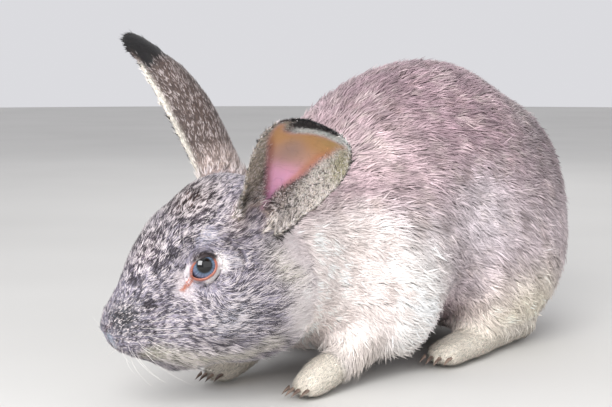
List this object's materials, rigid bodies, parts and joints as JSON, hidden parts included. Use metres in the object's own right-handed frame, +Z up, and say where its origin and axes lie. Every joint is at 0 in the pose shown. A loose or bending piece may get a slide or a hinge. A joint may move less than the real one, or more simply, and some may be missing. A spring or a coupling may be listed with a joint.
{
  "type": "grey rabbit",
  "caption": "Life-size domestic rabbit grazing in a low crouch, head down and turned, one ear upright and one held out sideways.",
  "frame": {"origin": "on the floor, under the middle of the box that holds the rabbit", "axes": "the rabbit faces -Y along the length of its body, its left side is +X, +Z is up"},
  "size_m": [0.2106, 0.4486, 0.2154],
  "materials": {
    "fur": "soft grey agouti coat",
    "pale_fur": "short cream coat",
    "ear": "thin pink skin under short hair",
    "eye": "wet, glossy",
    "claw": "smooth horn"
  },
  "bodies": {
    "root": {"ear_left": "ear", "ear_right": "ear", "eye_left": "eye", "eye_right": "eye", "fore_leg_left": "pale_fur", "fore_leg_right": "pale_fur", "fore_paw_left": "pale_fur", "fore_paw_left_claw_1": "claw", "fore_paw_left_claw_2": "claw", "fore_paw_left_claw_3": "claw", "fore_paw_left_claw_4": "claw", "fore_paw_right": "pale_fur", "fore_paw_right_claw_1": "claw", "fore_paw_right_claw_2": "claw", "fore_paw_right_claw_3": "claw", "fore_paw_right_claw_4": "claw", "haunch_left": "fur", "haunch_right": "fur", "head": "fur", "hind_foot_left": "pale_fur", "hind_foot_left_claw_1": "claw", "hind_foot_left_claw_2": "claw", "hind_foot_left_claw_3": "claw", "hind_foot_left_claw_4": "claw", "hind_foot_right": "pale_fur", "hind_foot_right_claw_1": "claw", "hind_foot_right_claw_2": "claw", "hind_foot_right_claw_3": "claw", "hind_foot_right_claw_4": "claw", "neck": "fur", "tail": "fur", "trunk": "fur"}
  },
  "joints": []
}
